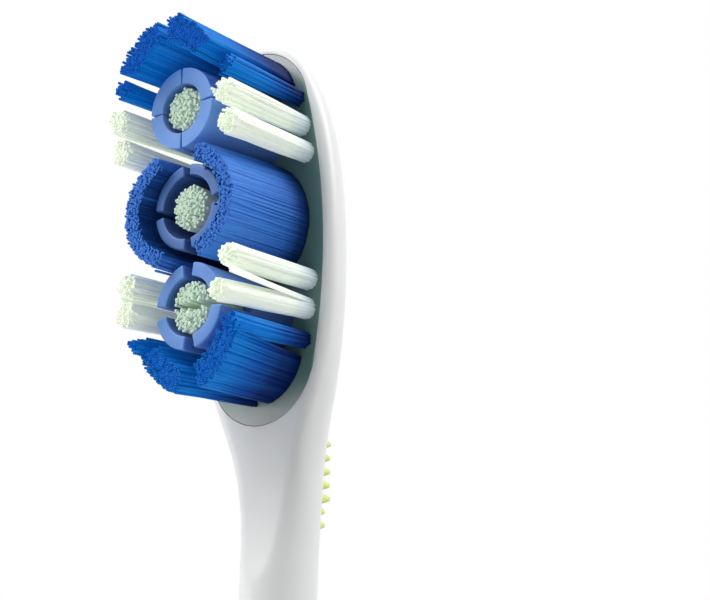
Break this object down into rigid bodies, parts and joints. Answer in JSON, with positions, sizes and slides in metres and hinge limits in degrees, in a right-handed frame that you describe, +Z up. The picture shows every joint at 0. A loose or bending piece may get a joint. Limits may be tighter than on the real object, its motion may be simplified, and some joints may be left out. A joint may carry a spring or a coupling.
{
  "type": "manual toothbrush",
  "caption": "Manual toothbrush with a welded bristle plate, polishing cups among mixed straight and curved tufts, a soft tongue cleaner on the back and soft grips on a slim handle.",
  "frame": {"origin": "on the neck's axis, where the fork of a wall holder grips it below the head", "axes": "+Z up the neck to the tip of the head, bristles point to -Y, +X to the right when looking at the bristles"},
  "size_m": [0.0144, 0.0164, 0.1912],
  "materials": {
    "body": "glossy moulded polypropylene, white",
    "plate": "glossy translucent polypropylene, grey-white",
    "soft_blue": "satin soft elastomer, steel blue",
    "cup_rubber": "satin soft elastomer, blue-violet",
    "green_bristle": "nylon filament bundle, pale green",
    "white_bristle": "nylon filament bundle, white",
    "azure_bristle": "nylon filament bundle, azure blue",
    "royal_bristle": "nylon filament bundle, royal blue"
  },
  "bodies": {
    "root": {"handle_body": "body", "head_plate": "plate", "tongue_cleaner": "soft_blue", "thumb_grip": "soft_blue", "palm_grip": "soft_blue", "polishing_cup_tip": "cup_rubber", "polishing_cup_middle": "cup_rubber", "polishing_cup_heel": "cup_rubber", "centre_tuft_tip": "green_bristle", "centre_tuft_middle": "green_bristle", "centre_tuft_heel": "green_bristle", "white_tuft_outer_tip_left": "white_bristle", "white_tuft_outer_tip_right": "white_bristle", "white_tuft_outer_heel_left": "white_bristle", "white_tuft_outer_heel_right": "white_bristle", "white_tuft_inner_tip_left": "white_bristle", "white_tuft_inner_tip_right": "white_bristle", "white_tuft_inner_heel_left": "white_bristle", "white_tuft_inner_heel_right": "white_bristle", "edge_tuft_tip_left": "azure_bristle", "edge_tuft_tip_right": "azure_bristle", "edge_tuft_heel_left": "azure_bristle", "edge_tuft_heel_right": "azure_bristle", "tip_crescent_left": "azure_bristle", "tip_crescent_right": "azure_bristle", "heel_crescent_left": "azure_bristle", "heel_crescent_right": "azure_bristle", "middle_crescent_left": "royal_bristle", "middle_crescent_right": "royal_bristle"}
  },
  "joints": []
}
